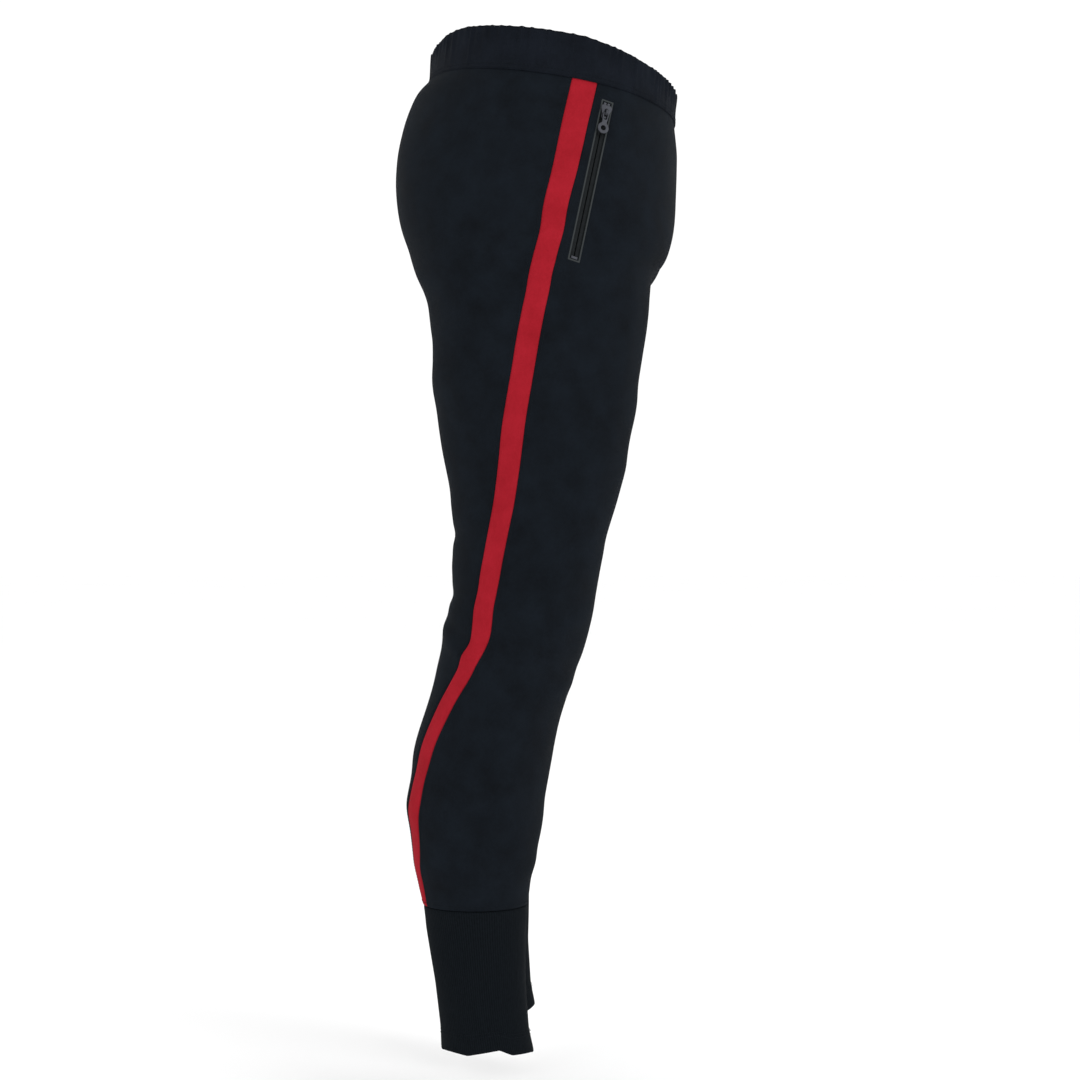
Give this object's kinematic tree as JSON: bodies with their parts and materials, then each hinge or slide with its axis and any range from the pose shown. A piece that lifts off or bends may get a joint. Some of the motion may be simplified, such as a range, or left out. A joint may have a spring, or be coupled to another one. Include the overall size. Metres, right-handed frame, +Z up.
{
  "type": "warm-up trousers",
  "caption": "Slim warm-up trousers for hockey with an elastic waist, a contrast stripe down each side, zipped side pockets and tapered rib ankles.",
  "frame": {"origin": "middle of the waist opening, level with the middle of its rim", "axes": "+Z up out of the waist, -Y towards the wearer's front, -X towards the wearer's right leg"},
  "size_m": [0.3814, 0.2741, 0.9755],
  "materials": {
    "navy_knit": "matt brushed double knit, near-black navy",
    "navy_band": "matt double knit, folded over the elastic",
    "red_knit": "matt double knit, deep red",
    "navy_rib": "matt one-by-one rib knit, near-black navy",
    "elastic": "woven elastic, undyed",
    "zip_tape": "woven polyester tape",
    "zip_teeth": "nylon coil, dull",
    "zip_stop": "grey enamel on zinc",
    "zip_slider": "grey enamel on zinc",
    "zip_pull": "grey enamel on zinc",
    "lining": "fine warp-knit mesh",
    "label": "satin ribbon, blank"
  },
  "bodies": {
    "garment": {"right_front_panel": "navy_knit", "left_front_panel": "navy_knit", "right_back_panel": "navy_knit", "left_back_panel": "navy_knit", "waistband_casing": "navy_band", "waistband_elastic": "elastic", "right_side_stripe": "red_knit", "left_side_stripe": "red_knit", "right_ankle_cuff": "navy_rib", "left_ankle_cuff": "navy_rib", "right_zip_tape_back": "zip_tape", "left_zip_tape_back": "zip_tape", "right_zip_tape_front": "zip_tape", "left_zip_tape_front": "zip_tape", "right_zip_teeth_back": "zip_teeth", "left_zip_teeth_back": "zip_teeth", "right_zip_teeth_front": "zip_teeth", "left_zip_teeth_front": "zip_teeth", "right_zip_top_stop": "zip_stop", "left_zip_top_stop": "zip_stop", "right_zip_bottom_stop": "zip_stop", "left_zip_bottom_stop": "zip_stop", "right_pocket_lining_outer": "lining", "left_pocket_lining_outer": "lining", "right_pocket_lining_inner": "lining", "left_pocket_lining_inner": "lining", "care_label": "label"},
    "right_slider": {"right_zip_slider": "zip_slider"},
    "right_pull": {"right_zip_pull": "zip_pull"},
    "left_slider": {"left_zip_slider": "zip_slider"},
    "left_pull": {"left_zip_pull": "zip_pull"}
  },
  "joints": [
    {"name": "right_zip_slide", "type": "slide", "parent": "garment", "child": "right_slider", "axis": [-0.2168, 0.2013, -0.9552], "range_m": [0, 0.1363]},
    {"name": "right_pull_hinge", "type": "hinge", "parent": "right_slider", "child": "right_pull", "pos_m": [-0.15516, -0.04626, -0.07407], "axis": [-0.3154, 0.9116, 0.2637], "range_deg": [0, 165]},
    {"name": "left_zip_slide", "type": "slide", "parent": "garment", "child": "left_slider", "axis": [0.2168, 0.2013, -0.9552], "range_m": [0, 0.1363]},
    {"name": "left_pull_hinge", "type": "hinge", "parent": "left_slider", "child": "left_pull", "pos_m": [0.15516, -0.04626, -0.07407], "axis": [-0.3154, -0.9116, -0.2637], "range_deg": [0, 165]}
  ]
}
